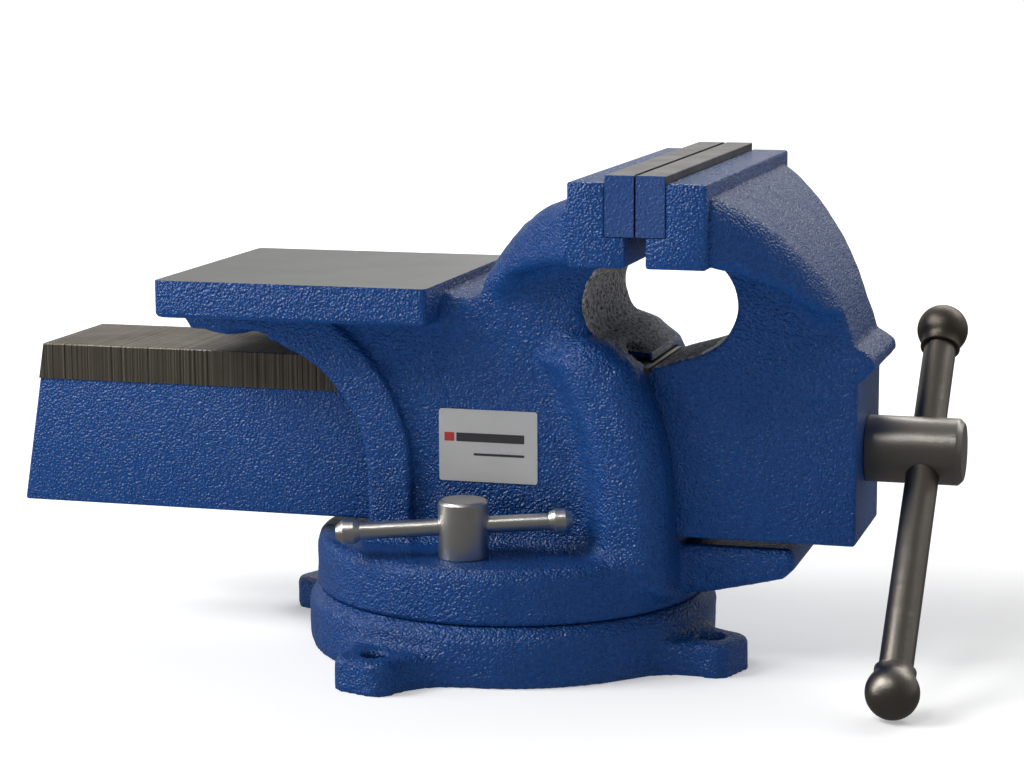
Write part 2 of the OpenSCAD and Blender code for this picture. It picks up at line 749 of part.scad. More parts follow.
swivel_base();
vise_body();
set_back() moving_jaw();
set_back() jaw_plate_fixed();
set_back() jaw_plate_moving();
set_back() jaw_plate_screws_fixed();
set_back() jaw_plate_screws_moving();
set_back() lead_screw();
set_back() handle_bar();
set_back() handle_knob_upper();
set_back() handle_knob_lower();
set_back() main_nut();
set_back() nut_bolt();
set_back() nut_washer();
set_back() return_spring();
set_back() spring_washer();
set_back() split_pin();
set_back() lock_bolt_left();
set_back() lock_bolt_right();
set_back() lock_bar_left();
set_back() lock_bar_right();
set_back() lock_bar_knobs_left();
set_back() lock_bar_knobs_right();
set_back() clamp_nut_left();
set_back() clamp_nut_right();
set_back() nameplate();
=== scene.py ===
import math
from functools import reduce

import bmesh
import bpy
import numpy as np
import openvdb as vdb
from mathutils import Matrix, Vector


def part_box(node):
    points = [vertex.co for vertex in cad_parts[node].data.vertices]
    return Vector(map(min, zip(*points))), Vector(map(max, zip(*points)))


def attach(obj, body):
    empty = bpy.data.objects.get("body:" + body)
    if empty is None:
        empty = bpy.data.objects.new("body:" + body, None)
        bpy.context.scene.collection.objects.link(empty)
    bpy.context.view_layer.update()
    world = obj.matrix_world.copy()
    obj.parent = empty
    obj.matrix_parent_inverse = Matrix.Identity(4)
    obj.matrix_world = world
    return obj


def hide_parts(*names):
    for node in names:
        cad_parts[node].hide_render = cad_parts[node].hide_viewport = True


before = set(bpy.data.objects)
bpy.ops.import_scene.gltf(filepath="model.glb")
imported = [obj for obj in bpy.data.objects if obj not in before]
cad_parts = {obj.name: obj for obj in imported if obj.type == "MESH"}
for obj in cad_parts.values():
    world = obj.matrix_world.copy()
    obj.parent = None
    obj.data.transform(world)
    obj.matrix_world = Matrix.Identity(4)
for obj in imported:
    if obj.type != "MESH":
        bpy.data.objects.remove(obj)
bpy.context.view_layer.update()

# --- Camera -------------------------------------------------------------------------
# The vise is seen from its left front, a little above the bench, through a long lens.
look_at = Vector((-0.0001, 0, 0.0955))
camera_turn, camera_height, camera_roll = (math.radians(a) for a in (16.145, 9.559, -0.239))
back = Vector((math.sin(camera_turn) * math.cos(camera_height),
               -math.cos(camera_turn) * math.cos(camera_height), math.sin(camera_height)))


def new_object(name, data):
    """An object that holds the data, in the scene."""
    made = bpy.data.objects.new(name, data)
    bpy.context.scene.collection.objects.link(made)
    return made


camera = new_object("camera", bpy.data.cameras.new("camera"))
camera.data.lens = 94.18
camera.data.sensor_width = 36
camera.matrix_world = (Matrix.Translation(look_at + back * 0.9961)
                       @ back.to_track_quat("Z", "Y").to_matrix().to_4x4()
                       @ Matrix.Rotation(camera_roll, 4, "Z"))
bpy.context.scene.camera = camera

# --- Floor and light ----------------------------------------------------------------
# A pale floor that runs out of sight, a white room that is darker on the viewer's side, soft
# lamps over the left front, in front and low on the left, and a strip behind for the tops.
bpy.context.scene.view_settings.view_transform = "Standard"


def new_material(name):
    """A material, its node tree and its shader."""
    material = bpy.data.materials.new(name)
    material.use_nodes = True
    return material, material.node_tree, material.node_tree.nodes["Principled BSDF"]


def new_node(tree, kind, **inputs):
    """A node, each input named here set to a value or linked from another node's socket."""
    made = tree.nodes.new(kind)
    for name, value in inputs.items():
        socket = made.inputs[name.replace("_", " ")]
        if isinstance(value, bpy.types.NodeSocket):
            tree.links.new(value, socket)
        else:
            socket.default_value = value
    return made


floor = new_object("floor", bpy.data.meshes.new("floor"))
floor.data.from_pydata([(-30, -30, 0), (30, -30, 0), (30, 30, 0), (-30, 30, 0)], [], [(0, 1, 2, 3)])
floor_paint, floor_tree, floor_shader = new_material("floor_paint")
for label, value in (("Base Color", (0.84, 0.84, 0.84, 1)), ("Roughness", 0.9),
                     ("Specular IOR Level", 0.1), ("Emission Color", (1, 1, 1, 1))):
    floor_shader.inputs[label].default_value = value
floor_place = floor_tree.nodes.new("ShaderNodeTexCoord")
floor_reach = floor_tree.nodes.new("ShaderNodeVectorMath")
floor_reach.operation = "LENGTH"
floor_tree.links.new(floor_place.outputs["Object"], floor_reach.inputs[0])
# painted light: the floor glows, faintly near the vise and more strongly farther out, so the far floor
# stays white
floor_glow = new_node(floor_tree, "ShaderNodeMapRange", Value=floor_reach.outputs["Value"],
                     From_Min=0.25, From_Max=1.6, To_Min=0.3, To_Max=0.8)
floor_tree.links.new(floor_glow.outputs["Result"], floor_shader.inputs["Emission Strength"])
# a dark card in front keeps the floor's whiteness out of the paint's reflections
floor_seen = floor_tree.nodes.new("ShaderNodeLightPath")
floor_card = new_node(floor_tree, "ShaderNodeEmission", Strength=0.12)
floor_mix = floor_tree.nodes.new("ShaderNodeMixShader")
floor_tree.links.new(floor_seen.outputs["Is Glossy Ray"], floor_mix.inputs[0])
floor_tree.links.new(floor_shader.outputs[0], floor_mix.inputs[1])
floor_tree.links.new(floor_card.outputs[0], floor_mix.inputs[2])
floor_tree.links.new(floor_mix.outputs[0], floor_tree.nodes["Material Output"].inputs["Surface"])
floor.data.materials.append(floor_paint)

room = bpy.data.worlds.new("room")
bpy.context.scene.world = room
room.use_nodes = True
room_tree, room_light = room.node_tree, room.node_tree.nodes["Background"]
room_split = new_node(room_tree, "ShaderNodeSeparateXYZ",
                      Vector=room_tree.nodes.new("ShaderNodeTexCoord").outputs["Generated"])
room_ramp = new_node(room_tree, "ShaderNodeMapRange", Value=room_split.outputs["Y"],
                     From_Min=-0.5, From_Max=0.6, To_Min=0.13, To_Max=0.45)
room_tree.links.new(room_ramp.outputs["Result"], room_light.inputs["Strength"])
room_light.inputs["Color"].default_value = (1, 1, 1, 1)


def soft_lamp(name, place, target, size, power):
    """A white area lamp at a place, in metres, aimed at the target."""
    lamp = new_object(name, bpy.data.lights.new(name, "AREA"))
    lamp.data.shape = "RECTANGLE"
    lamp.data.size, lamp.data.size_y = size
    lamp.data.energy = power
    lamp.location = place
    lamp.rotation_euler = (Vector(target) - Vector(place)).to_track_quat("-Z", "Y").to_euler()


soft_lamp("front_left_lamp", (-1.3, -0.7, 1.5), (0, 0, 0.05), (0.9, 0.9), 26)
soft_lamp("front_lamp", (-0.25, -1.0, 1.4), (0, 0, 0.05), (0.4, 0.4), 4.5)
soft_lamp("low_left_lamp", (-1.55, -0.5, 0.5), (0, 0, 0.05), (0.5, 0.5), 6)
soft_lamp("back_lamp", (0.5, 1.4, 1.3), (0, 0, 0.1), (2.2, 0.8), 16)


# --- Swivel base --------------------------------------------------------------------
# A round grey-iron casting with four bolted lugs, sprayed in deep blue hammered enamel.
# The sand mould leaves soft edges and hollows, and a ring groove inside holds the clamp nuts.
mm = 0.001


def casting_axes(low, high, step):
    """The X, Y and Z of a grid over a box, in millimetres, shaped to combine."""
    x, y, z = (np.arange(a - 4 * step, b + 4 * step, step, dtype=np.float32)
               for a, b in zip(low, high))
    return x[:, None, None], y[None, :, None], z[None, None, :]


def between(value, low, high):
    """Depth outside a band of values, below nought inside it."""
    return np.maximum(low - value, value - high)


def shared(radius, *forms):
    """Where all the forms overlap, its outer edges rounded."""
    inner = [form + radius for form in forms]
    outside = sum(np.square(np.maximum(form, 0)) for form in inner)
    return np.sqrt(outside) + np.minimum(reduce(np.maximum, inner), 0) - radius


def joined(radius, *forms):
    """The forms together, with a hollow fillet wherever two of them meet."""
    return reduce(lambda a, b: -shared(radius, -a, -b), forms)


def bow(centre, radius, start, end, n=12):
    """Points along a round stretch of an outline, by angle in degrees."""
    angles = np.radians(np.linspace(start, end, n + 1))
    return [(centre[0] + radius * math.cos(a), centre[1] + radius * math.sin(a)) for a in angles]


def outline(u, v, points):
    """Distance to a closed outline in the u-v plane, below nought inside it."""
    nearest = np.full(np.broadcast(u, v).shape, np.inf, np.float32)
    inside = np.zeros(nearest.shape, bool)
    for (ax, ay), (bx, by) in zip(points, points[1:] + points[:1]):
        ex, ey = bx - ax, by - ay
        along = np.clip(((u - ax) * ex + (v - ay) * ey) / (ex * ex + ey * ey), 0, 1)
        nearest = np.minimum(nearest, (u - ax - ex * along) ** 2 + (v - ay - ey * along) ** 2)
        if ey:
            inside ^= ((ay > v) != (by > v)) & (u < ex * (v - ay) / ey + ax)
    return np.where(inside, -1, 1) * np.sqrt(nearest)


def ripple(points, length, seed):
    """A gentle unevenness between about -1 and 1, of that wavelength, at each point."""
    random = np.random.default_rng(seed)
    way = random.normal(size=(14, 3))
    way *= (random.uniform(0.7, 1.6, 14) / np.linalg.norm(way, axis=1))[:, None]
    phase = random.uniform(0, 2 * math.pi, 14)
    return np.sin(points @ (way.T * 2 * math.pi / length) + phase).sum(1) / 4


def cast_mesh(name, form, axes, step, unevenness=0.12, keep=lambda p: np.ones(len(p))):
    """A casting's skin as a mesh object, in metres, with the slight waves of a sand mould."""
    grid = vdb.FloatGrid()
    grid.background = 5.0
    grid.copyFromArray(np.ascontiguousarray(form, np.float32))
    points, quads = grid.convertToQuads(isovalue=0)
    points = points * step + [float(a.ravel()[0]) for a in axes]
    mesh = bpy.data.meshes.new(name)
    mesh.from_pydata(points, [], quads.tolist())
    normals = np.zeros(len(points) * 3)
    mesh.vertices.foreach_get("normal", normals)
    waves = ripple(points, 21, 1) + 0.6 * ripple(points, 9, 2)
    points += normals.reshape(-1, 3) * (waves * unevenness * keep(points))[:, None]
    mesh.vertices.foreach_set("co", (points * mm).ravel())
    mesh.update()
    piece = new_object(name, mesh)
    mesh.shade_smooth()
    return piece


def math_node(tree, operation, a, b=0.0):
    """The result of a sum on two values or sockets."""
    node = tree.nodes.new("ShaderNodeMath")
    node.operation = operation
    for socket, value in zip(node.inputs, (a, b)):
        if isinstance(value, (int, float)):
            socket.default_value = value
        else:
            tree.links.new(value, socket)
    return node.outputs[0]


def new_group(name, numbers, outputs, kind="ShaderNodeTree"):
    """A node group with number inputs and the outputs named, by (name, type)."""
    tree = bpy.data.node_groups.new(name, kind)
    for label, value in numbers:
        socket = tree.interface.new_socket(label, in_out="INPUT", socket_type="NodeSocketFloat")
        socket.default_value = value
    for label, socket_type in outputs:
        tree.interface.new_socket(label, in_out="OUTPUT", socket_type=socket_type)
    return tree, tree.nodes.new("NodeGroupInput"), tree.nodes.new("NodeGroupOutput")


def tone_ramp(tree, value, low, high):
    """The colour of a value between two stops of (position, colour)."""
    ramp = tree.nodes.new("ShaderNodeValToRGB")
    for stop, (position, colour) in zip(ramp.color_ramp.elements, (low, high)):
        stop.position, stop.color = position, (*colour, 1)
    tree.links.new(value, ramp.inputs[0])
    return ramp.outputs["Color"]


# hammered enamel: small pebbles run together, over a wider orange peel
hammer, hammer_in, hammer_out = new_group(
    "hammered_surface", [("Pebble", 1150), ("Peel", 600)],
    [("Height", "NodeSocketFloat"), ("Mottle", "NodeSocketFloat")])
hammer_place = hammer.nodes.new("ShaderNodeTexCoord").outputs["Object"]
pebbles = hammer.nodes.new("ShaderNodeTexVoronoi")
pebbles.feature = "SMOOTH_F1"
pebbles.inputs["Smoothness"].default_value = 0.6
pebbles.inputs["Randomness"].default_value = 1.0
hammer.links.new(hammer_place, pebbles.inputs["Vector"])
hammer.links.new(hammer_in.outputs["Pebble"], pebbles.inputs["Scale"])
peel = new_node(hammer, "ShaderNodeTexNoise", Vector=hammer_place, Scale=hammer_in.outputs["Peel"],
                Detail=2.0, Roughness=0.55)
hammer.links.new(math_node(hammer, "SUBTRACT", peel.outputs["Fac"], math_node(
    hammer, "MULTIPLY", pebbles.outputs["Distance"], 1.1)), hammer_out.inputs["Height"])
hammer.links.new(peel.outputs["Fac"], hammer_out.inputs["Mottle"])
# where the spray hardly reached: a zone round a line along Y, the bare skin showing through
thin, thin_in, thin_out = new_group(
    "thin_spray", [("Centre X", 0.0), ("Centre Z", 0.0), ("Reach", 0.01), ("Half Width", 0.03)],
    [("Mask", "NodeSocketFloat"), ("Height", "NodeSocketFloat")])
thin_place = thin.nodes.new("ShaderNodeTexCoord").outputs["Object"]
thin_xyz = new_node(thin, "ShaderNodeSeparateXYZ", Vector=thin_place)
off_x = math_node(thin, "SUBTRACT", thin_xyz.outputs["X"], thin_in.outputs["Centre X"])
off_z = math_node(thin, "SUBTRACT", thin_xyz.outputs["Z"], thin_in.outputs["Centre Z"])
away = math_node(thin, "SQRT", math_node(thin, "ADD", math_node(thin, "MULTIPLY", off_x, off_x),
                                         math_node(thin, "MULTIPLY", off_z, off_z)))
skin = new_node(thin, "ShaderNodeTexNoise", Vector=thin_place, Scale=760, Detail=3.0, Roughness=0.7)
inner = math_node(thin, "LESS_THAN", away, thin_in.outputs["Reach"])
near_middle = math_node(thin, "LESS_THAN", math_node(thin, "ABSOLUTE", thin_xyz.outputs["Y"]),
                        thin_in.outputs["Half Width"])
patchy = new_node(thin, "ShaderNodeMapRange", Value=skin.outputs["Fac"], From_Min=0.3, From_Max=0.42)
thin.links.new(math_node(thin, "MULTIPLY", patchy.outputs["Result"], math_node(
    thin, "MULTIPLY", inner, near_middle)), thin_out.inputs["Mask"])
thin.links.new(skin.outputs["Fac"], thin_out.inputs["Height"])


def paint_material(name, zone=None):
    """Hammered enamel over cast iron; in a zone (x, z, reach, half width) hardly any of it."""
    material, tree, shader = new_material(name)
    surface = tree.nodes.new("ShaderNodeGroup")
    surface.node_tree = hammer
    colour = tone_ramp(tree, surface.outputs["Mottle"], (0.3, (0.0055, 0.0435, 0.179)),
                       (0.7, (0.008, 0.0585, 0.228)))
    bump = new_node(tree, "ShaderNodeBump", Strength=1.0, Distance=0.0006,
                    Height=surface.outputs["Height"])
    shader.inputs["Roughness"].default_value = 0.22
    shader.inputs["Specular IOR Level"].default_value = 0.4
    if zone:
        spared = tree.nodes.new("ShaderNodeGroup")
        spared.node_tree = thin
        for label, value in zip(("Centre X", "Centre Z", "Reach", "Half Width"), zone):
            spared.inputs[label].default_value = value * mm
        mask, skin_height = spared.outputs["Mask"], spared.outputs["Height"]
        mixed = tree.nodes.new("ShaderNodeMix")
        mixed.data_type = "RGBA"
        tree.links.new(mask, mixed.inputs[0])
        tree.links.new(colour, mixed.inputs[6])
        tree.links.new(tone_ramp(tree, skin_height, (0.41, (0.035, 0.034, 0.036)),
                                 (0.55, (0.6, 0.59, 0.6))), mixed.inputs[7])
        colour = mixed.outputs[2]
        rough = new_node(tree, "ShaderNodeMapRange", Value=mask, To_Min=0.22, To_Max=0.62)
        tree.links.new(rough.outputs["Result"], shader.inputs["Roughness"])
        bump = new_node(tree, "ShaderNodeBump", Strength=1.0, Distance=0.0028,
                        Height=math_node(tree, "MULTIPLY", mask, skin_height),
                        Normal=bump.outputs["Normal"])
    tree.links.new(colour, shader.inputs["Base Color"])
    tree.links.new(bump.outputs["Normal"], shader.inputs["Normal"])
    return material


blue_paint = paint_material("blue_paint")
throat_paint = paint_material("throat_paint", (52.4, 131.7, 20.6, 33.4))
web_paint = paint_material("web_paint", (69, 95, 20, 26))

base_step = 1.1
base_low, base_high = (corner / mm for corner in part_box("swivel_base"))
seam_z = base_high.z
base_radius, seam_radius, foot_radius = 76.3, 73.0, 74.0
lug_turn, bolt_circle, bolt_hole, lug_top = -18.5, 86.0, 4.5, 12.0
x, y, z = base_axes = casting_axes(base_low, base_high, base_step)
radius = np.sqrt(x * x + y * y)
dish = outline(radius, z, [(0, -9), (foot_radius, -9), (foot_radius, 0), (base_radius - 0.6, 3)]
               + bow((base_radius - 6, seam_z - 6.4), 6, 0, 60, 6)
               + [(seam_radius - 0.4, seam_z), (0, seam_z)])
plan = radius - foot_radius
lug_plan = np.full_like(plan, 99)
hole_plan = np.full_like(plan, 99)
for turn in np.radians(lug_turn + 90 * np.arange(4)):
    along = x * math.cos(turn) + y * math.sin(turn)
    across = y * math.cos(turn) - x * math.sin(turn)
    lug_plan = np.minimum(lug_plan, shared(7, between(along, 20, bolt_circle + 11.7),
                                           np.abs(across) - 12))
    hole_plan = np.minimum(hole_plan, np.hypot(along - bolt_circle, across) - bolt_hole)
lugs = shared(2.6, joined(18, plan + 0.4, lug_plan), z - lug_top)
base_form = joined(4, dish, lugs)
groove = shared(0.5, np.abs(radius - 53.4) - 11.4, between(z, 5, 13))
slot = np.maximum(np.abs(radius - 53) - 6.1, between(z, 9, 30))
base_form = shared(1.0, base_form, -hole_plan)
base_form = reduce(np.maximum, [base_form, -groove, -slot, 20.1 - radius, -z])
base_casting = cast_mesh("swivel_base_casting", base_form, base_axes, base_step,
                         keep=lambda p: (p[:, 2] > 0.6) & (p[:, 2] < seam_z - 1)
                         & (np.hypot(p[:, 0], p[:, 1]) > 66))
base_casting.data.materials.append(blue_paint)
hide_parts("swivel_base")
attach(base_casting, "base")

# --- Vise body ----------------------------------------------------------------------
# One grey-iron casting: turntable, box round the slide, anvil and fixed jaw. It is painted all
# over, then the anvil's face is milled flat, and the throat is left as rough as it was cast.
body_low, body_high = (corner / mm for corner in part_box("vise_body"))
# all but the turntable is measured from the lock bolts, which stand back from the swivel axis
set_back = Vector((3, 0, 0))
plate_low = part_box("jaw_plate_fixed")[0] / mm + set_back
slide_low, slide_high = (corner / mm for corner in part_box("moving_jaw"))
anvil_top, table_top, wall_y, collar_y, pillar_y = 137.5, 42.0, 34.5, 38.0, 47.0
lock_y, jaw_half, plate_screw_y, plate_screw_z = 53, 75, 47, 170.85
body_step = 1.35
x, y, z = body_axes = casting_axes(body_low, body_high, body_step)
side, radius = np.abs(y), np.sqrt(x * x + y * y)
table = outline(radius, z, [(0, 12), (20, 12), (20, 21.7), (72.4, 21.7), (73, 22.4)]
                + bow((69, 38), 4, 0, 90, 4) + [(0, table_top)])
x = x + set_back.x
radius = np.sqrt(x * x + y * y)
rear_centre, rear_foot = (-91.4, 66), [(-41.4, table_top - 8)]
under_anvil = [(-80.3, 115), (-85.5, 116.6), (-91.3, 117.2), (-97, 115.2), (-104.3, 115.6),
               (-112.3, 117.2), (-116, 124.8)]
web_side = outline(x, z, rear_foot + bow(rear_centre, 50, 0, 62) + under_anvil + [(-19.5, 131.8)]
                   + bow((-5, 141.5), 9.3, 230, 312, 6) + bow((65.5, 104), 72.2, 152, 108)
                   + [(56.3, 170.7), (56.3, 150.8)] + bow((55.4, 131.7), 16.5, 118, 236)
                   + [(52, 113.3), (57.4, 106.7)] + bow((-48.5, 56.6), 120, 26, 0) + [(71.5, 35)])
web = shared(3, web_side, side - wall_y)
inner_web = shared(3, web_side + 6, side - wall_y)
collar = shared(1.6, outline(x, z, rear_foot + bow(rear_centre, 50, 0, 62)
                             + [(-80.3, 115), (-80.3, 124.8), (-54.4, 124.8)]
                             + bow(rear_centre, 67, 56, 0) + [(-24.4, 35)]), side - collar_y)
pillar = shared(11, outline(x, z, [(44, 28)] + bow((-57.7, 55.9), 101.7, 0, 33)
                            + [(32, 117), (41, 120.5), (50, 118)]
                            + bow((-48.5, 56.6), 120, 27, 0) + [(71.5, 28)]), side - pillar_y)
arm_plan = [(57, 73), (41.9, 72), (24, 54), (7, 36), (-16, 0)]
arm = shared(4.5, outline(x, z, bow((65.5, 104), 72.2, 155, 108) + [(56, 170.7), (56, 150)]
                          + bow((53.6, 67.6), 82.8, 97, 124, 8)),
             outline(x, y, arm_plan + [(px, -py) for px, py in arm_plan[-2::-1]]))
anvil = shared(1.8, between(x, -116.6, -14.2), side - 52.2, between(z, 124.5, anvil_top - 0.7))
tongue = shared(3, outline(x, z, [(55, 24.7), (82, 26.9), (100, 31), (110, 33.5), (114, 37.5),
                                  (114, 42), (112, 44.5), (55, 44.5)]), side - 25)
column = joined(8, inner_web, pillar)
body_form = reduce(np.minimum, [
    web, column, joined(6, table, column), joined(9, inner_web, arm),
    joined(0.8, inner_web, collar), joined(4, table, collar), joined(5, inner_web, anvil),
    joined(4, table, tongue)])
blow_hole = 4.5 * (np.sqrt(((x - 54) / 6) ** 2 + ((y + 19) / 11) ** 2
                           + ((z - 111.5) / 4.5) ** 2) - 1)
body_form = np.maximum(body_form, -blow_hole)
window = np.maximum(side - 27.3, between(z, 47.1, 108.7))
bolt_way = np.maximum(radius - 6.02, z - 48)
bolt_seat = np.maximum(radius - 13, z - 24.7)
lock_place = np.hypot(x, side - lock_y)
lock_way = np.minimum(np.maximum(lock_place - 5.6, z - 44),
                      np.maximum(lock_place - 10.2, between(z, table_top, 72)))
screw_way = np.maximum(np.hypot(side - plate_screw_y, z - plate_screw_z) - 4.02, between(x, 45.5, 58))
body_form = reduce(np.maximum, [body_form, -window, -bolt_way, -bolt_seat, -lock_way, -screw_way])


def body_keep(p):
    """How uneven the casting is at each point: nothing on a machined face, more where it is ragged."""
    px, py, pz = (p + list(set_back)).T
    true_face = ((pz < 22.4) | ((np.abs(py) < 28) & (pz > 46) & (pz < 109.5))
                 | (px > plate_low.x - 0.8))
    ragged = 3.0 * ((px < -72) & (pz < 121)) + 1.0 * (np.hypot(px - 55.4, pz - 131.7) < 18)
    return np.where(true_face | (np.hypot(px, np.abs(py) - lock_y) < 11), 0, 1 + ragged)


body_casting = cast_mesh("vise_body_casting", body_form, body_axes, body_step, 0.13, body_keep)


def metal_material(name, colour, rough, line_way=(0, 0, 0), lines=0.0, density=900, stain=0.35):
    """Bare metal: cutting lines across a direction, soft stains and a faint casting grain."""
    material, tree, shader = new_material(name)
    surface = tree.nodes.new("ShaderNodeGroup")
    surface.node_tree = cut_metal
    for label, value in (("Way", line_way), ("Density", density), ("Lines", lines), ("Stain", stain),
                         ("Roughness", rough)):
        surface.inputs[label].default_value = value
    surface.inputs["Colour"].default_value = (*colour, 1)
    tree.links.new(surface.outputs["Colour"], shader.inputs["Base Color"])
    tree.links.new(surface.outputs["Roughness"], shader.inputs["Roughness"])
    bump = new_node(tree, "ShaderNodeBump", Strength=0.6, Distance=0.00006,
                    Height=surface.outputs["Height"])
    tree.links.new(bump.outputs["Normal"], shader.inputs["Normal"])
    shader.inputs["Metallic"].default_value = 1.0
    return material


cut_metal, metal_in, metal_out = new_group(
    "cut_metal", [("Density", 900), ("Lines", 0.5), ("Stain", 0.3), ("Roughness", 0.4)],
    [("Colour", "NodeSocketColor"), ("Roughness", "NodeSocketFloat"), ("Height", "NodeSocketFloat")])
cut_metal.interface.new_socket("Way", in_out="INPUT", socket_type="NodeSocketVector")
cut_metal.interface.new_socket("Colour", in_out="INPUT", socket_type="NodeSocketColor")
metal_place = cut_metal.nodes.new("ShaderNodeTexCoord").outputs["Object"]
along_way = cut_metal.nodes.new("ShaderNodeVectorMath")
along_way.operation = "DOT_PRODUCT"
cut_metal.links.new(metal_place, along_way.inputs[0])
cut_metal.links.new(metal_in.outputs["Way"], along_way.inputs[1])
cutting = new_node(cut_metal, "ShaderNodeTexNoise", Detail=3.0, Roughness=0.7)
cutting.noise_dimensions = "1D"
cut_metal.links.new(math_node(cut_metal, "MULTIPLY", along_way.outputs["Value"],
                              metal_in.outputs["Density"]), cutting.inputs["W"])
stains = new_node(cut_metal, "ShaderNodeTexNoise", Vector=metal_place, Scale=38, Detail=5.0,
                  Roughness=0.6)
grain = new_node(cut_metal, "ShaderNodeTexNoise", Vector=metal_place, Scale=1400, Detail=1.0)
line_tone = math_node(cut_metal, "MULTIPLY", math_node(
    cut_metal, "SUBTRACT", cutting.outputs["Fac"], 0.5), metal_in.outputs["Lines"])
stain_tone = math_node(cut_metal, "MULTIPLY", math_node(
    cut_metal, "SUBTRACT", stains.outputs["Fac"], 0.5), metal_in.outputs["Stain"])
tone = math_node(cut_metal, "ADD", math_node(cut_metal, "ADD", line_tone, stain_tone), 1.0)
toned = cut_metal.nodes.new("ShaderNodeVectorMath")
toned.operation = "SCALE"
cut_metal.links.new(metal_in.outputs["Colour"], toned.inputs[0])
cut_metal.links.new(tone, toned.inputs["Scale"])
cut_metal.links.new(toned.outputs[0], metal_out.inputs["Colour"])
cut_metal.links.new(math_node(cut_metal, "ADD", metal_in.outputs["Roughness"], math_node(
    cut_metal, "MULTIPLY", stain_tone, -0.5)), metal_out.inputs["Roughness"])
cut_metal.links.new(math_node(cut_metal, "ADD", math_node(
    cut_metal, "MULTIPLY", line_tone, 2.0), grain.outputs["Fac"]), metal_out.inputs["Height"])

anvil_metal = metal_material("milled_anvil", (0.27, 0.27, 0.265), 0.55, (0.3, 1, 0), 0.25, 700, 0.25)
body_casting.data.materials.append(throat_paint)
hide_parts("vise_body")
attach(body_casting, "body")


def faced_out(mesh, merge=0.0):
    """The mesh's faces turned outward, its points nearer than that distance made one."""
    solid = bmesh.new()
    solid.from_mesh(mesh)
    if merge:
        bmesh.ops.remove_doubles(solid, verts=solid.verts, dist=merge)
        bmesh.ops.dissolve_degenerate(solid, edges=solid.edges, dist=merge)
    bmesh.ops.recalc_face_normals(solid, faces=solid.faces)
    solid.to_mesh(mesh)
    solid.free()


def drawn_solid(name, sections, material, body, node=None):
    """A closed solid through like-ordered sections of points in millimetres."""
    count, points = len(sections[0]), [p for section in sections for p in section]
    faces = [list(range(count))[::-1], list(range(len(points) - count, len(points)))]
    for s in range(len(sections) - 1):
        for k in range(count):
            a, b = s * count + k, s * count + (k + 1) % count
            faces.append((a, b, b + count, a + count))
    mesh = bpy.data.meshes.new(name)
    mesh.from_pydata([(Vector(p) - set_back) * mm for p in points], [], faces)
    piece = new_object(name, mesh)
    faced_out(mesh)
    mesh.materials.append(material)
    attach(piece, body)
    if node:
        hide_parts(node)
    return piece


def turned(name, profile, place, material, body, sides=64, ring=False, crease=32):
    """A solid turned about Z from (radius, height) points; a third number gives it flats."""
    points, faces, rings = [], [], []
    for r, height, *flats in profile:
        angles = [2 * math.pi * k / sides for k in range(sides if r else 1)]
        rings.append([len(points) + k for k in range(len(angles))])
        for a in angles:
            wide = r
            if flats:
                half = math.pi / flats[0]
                wide = r / math.cos(a % (2 * half) - half)
            points.append((wide * math.cos(a), wide * math.sin(a), height))
    for a, b in zip(rings, rings[1:] + (rings[:1] if ring else [])):
        for k in range(sides):
            quad = (a[k % len(a)], a[(k + 1) % len(a)], b[(k + 1) % len(b)], b[k % len(b)])
            faces.append(list(dict.fromkeys(quad)))
    mesh = bpy.data.meshes.new(name)
    mesh.from_pydata([Vector(p) * mm for p in points], [], faces)
    mesh.transform(place)
    piece = new_object(name, mesh)
    mesh.shade_smooth()
    mesh.set_sharp_from_angle(angle=math.radians(crease))
    mesh.materials.append(material)
    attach(piece, body)
    return piece


def eased(profile, size):
    """The profile with each inner corner rounded off over that length."""
    out = [profile[0]]
    for a, b, c in zip(profile, profile[1:], profile[2:]):
        a, b, c = Vector(a[:2]), Vector(b[:2]), Vector(c[:2])
        start = b + (a - b).normalized() * min(size, (a - b).length / 2)
        end = b + (c - b).normalized() * min(size, (c - b).length / 2)
        out += [tuple(start.lerp(b, t).lerp(b.lerp(end, t), t)) for t in (0, 0.25, 0.5, 0.75, 1)]
    return out + [profile[-1]]


def aimed(origin, direction):
    """The place of a turned piece: its foot in millimetres and the way its Z points."""
    return (Matrix.Translation((Vector(origin) - set_back) * mm)
            @ Vector(direction).to_track_quat("Z", "Y").to_matrix().to_4x4())


def baked(piece):
    """The piece's modifiers made part of its mesh."""
    shape = piece.evaluated_get(bpy.context.evaluated_depsgraph_get())
    mesh = bpy.data.meshes.new_from_object(shape)
    piece.modifiers.clear()
    piece.data = mesh
    return mesh


def cut_away(piece, cutter):
    """The cutter's space taken out of the piece, its edges left sharp."""
    cut = piece.modifiers.new("cut", "BOOLEAN")
    cut.object, cut.solver = cutter, "EXACT"
    mesh = baked(piece)
    faced_out(mesh, 0.000004)
    mesh.set_sharp_from_angle(angle=math.radians(32))
    bpy.data.objects.remove(cutter)


def drilled(piece, radius, origin, direction, length, sides=48):
    """A round hole through the piece."""
    cut_away(piece, turned("drill", [(0, 0), (radius, 0), (radius, length), (0, length)],
                           aimed(origin, direction), piece.data.materials[0], "body",
                           sides))


def edges_eased(piece, size, segments=2):
    """The piece's sharp edges rounded off a little, as on a casting or a ground block."""
    ease = piece.modifiers.new("ease", "BEVEL")
    ease.width, ease.segments, ease.limit_method = size * mm, segments, "ANGLE"
    ease.angle_limit = math.radians(25)
    mesh = baked(piece)
    mesh.shade_smooth()
    mesh.set_sharp_from_angle(angle=math.radians(50))
    return piece


def tile(low_x, high_x, low_z, high_z, corner):
    """The points round an oblong with rounded corners."""
    out = []
    for cx, cz, start in ((high_x - corner, low_z + corner, 270), (high_x - corner, high_z - corner, 0),
                          (low_x + corner, high_z - corner, 90), (low_x + corner, low_z + corner, 180)):
        out += bow((cx, cz), corner, start, start + 90, 4)
    return out


